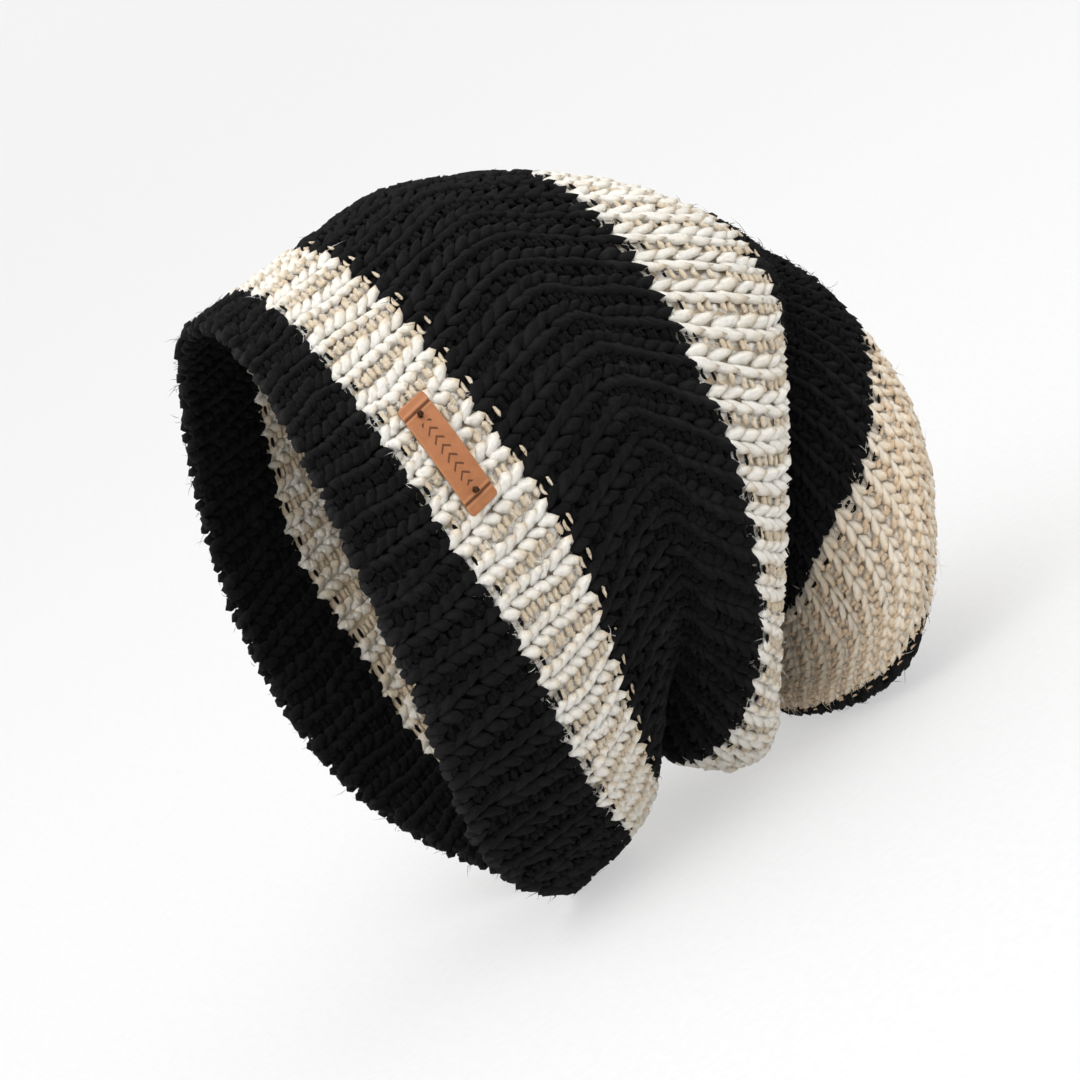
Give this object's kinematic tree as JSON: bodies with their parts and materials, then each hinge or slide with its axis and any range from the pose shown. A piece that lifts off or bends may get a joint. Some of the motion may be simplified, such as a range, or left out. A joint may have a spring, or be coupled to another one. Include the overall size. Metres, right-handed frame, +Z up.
{
  "type": "slouchy knit beanie",
  "caption": "Slouchy ribbed-knit beanie lying on its back, striped black and cream, with a leather label and a crown that flops over.",
  "frame": {"origin": "bottom centre of the lying hat's box, on the table", "axes": "+X from the head opening towards the flopped crown, +Z up from the table, the labelled side faces -Y"},
  "size_m": [0.201, 0.1594, 0.2143],
  "materials": {
    "black_yarn": "fuzzy chunky rib knit",
    "cream_yarn": "fuzzy chunky rib knit",
    "warm_cream_yarn": "fuzzy chunky rib knit",
    "leather": "smooth tan leather, pressed motif",
    "label_thread": "waxed thread"
  },
  "bodies": {
    "hat_body": {"brim_band_black": "black_yarn", "stripe_cream_1": "cream_yarn", "stripe_black_2": "black_yarn", "stripe_cream_2": "cream_yarn", "leather_label": "leather", "label_stitch_1": "label_thread", "label_stitch_2": "label_thread", "yarn_end_1": "cream_yarn", "yarn_end_2": "black_yarn", "yarn_end_3": "cream_yarn", "yarn_end_4": "black_yarn"},
    "slouch_crown": {"stripe_black_3": "black_yarn", "stripe_cream_3": "warm_cream_yarn", "crown_black_4": "black_yarn", "yarn_end_5": "warm_cream_yarn", "yarn_end_6": "black_yarn", "gather_yarn": "black_yarn", "gather_knot": "black_yarn"}
  },
  "joints": [
    {"name": "crown_flop", "type": "hinge", "parent": "hat_body", "child": "slouch_crown", "pos_m": [0.0727, 0, 0.1681], "axis": [0, -1, 0], "range_deg": [0, 20]}
  ]
}
